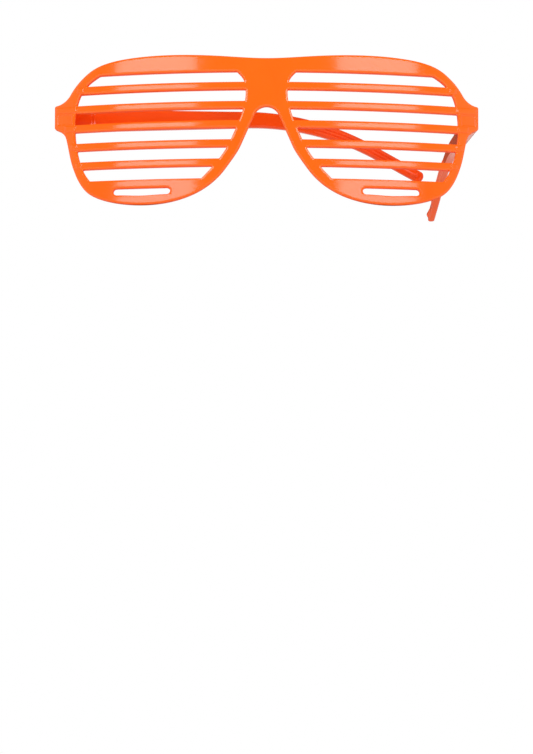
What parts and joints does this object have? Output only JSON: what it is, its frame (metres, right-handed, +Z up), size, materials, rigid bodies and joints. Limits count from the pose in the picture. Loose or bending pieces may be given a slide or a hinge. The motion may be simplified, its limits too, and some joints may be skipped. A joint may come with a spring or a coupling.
{
  "type": "slatted novelty glasses",
  "caption": "Slatted novelty glasses: curved one-piece front with horizontal slats in place of lenses, and two folding temples on pin hinges.",
  "frame": {"origin": "the saddle of the nose arch, half way through the thickness of the bridge", "axes": "+Z up as worn, the front faces -Y, +X to the wearer's left"},
  "size_m": [0.148, 0.1431, 0.0514],
  "materials": {
    "front": "glossy moulded, neon orange",
    "temples": "glossy moulded, neon orange",
    "pins": "plain bright steel wire"
  },
  "bodies": {
    "front": {"front_frame": "front", "right_hinge_pin": "pins", "left_hinge_pin": "pins"},
    "right_temple": {"right_temple": "temples"},
    "left_temple": {"left_temple": "temples"}
  },
  "joints": [
    {"name": "right_temple_hinge", "type": "hinge", "parent": "front", "child": "right_temple", "pos_m": [-0.0692, 0.0171, -0.00175], "axis": [0, 0, 1], "range_deg": [0, 88]},
    {"name": "left_temple_hinge", "type": "hinge", "parent": "front", "child": "left_temple", "pos_m": [0.0692, 0.0171, -0.00175], "axis": [0, 0, 1], "range_deg": [0, 73]}
  ]
}
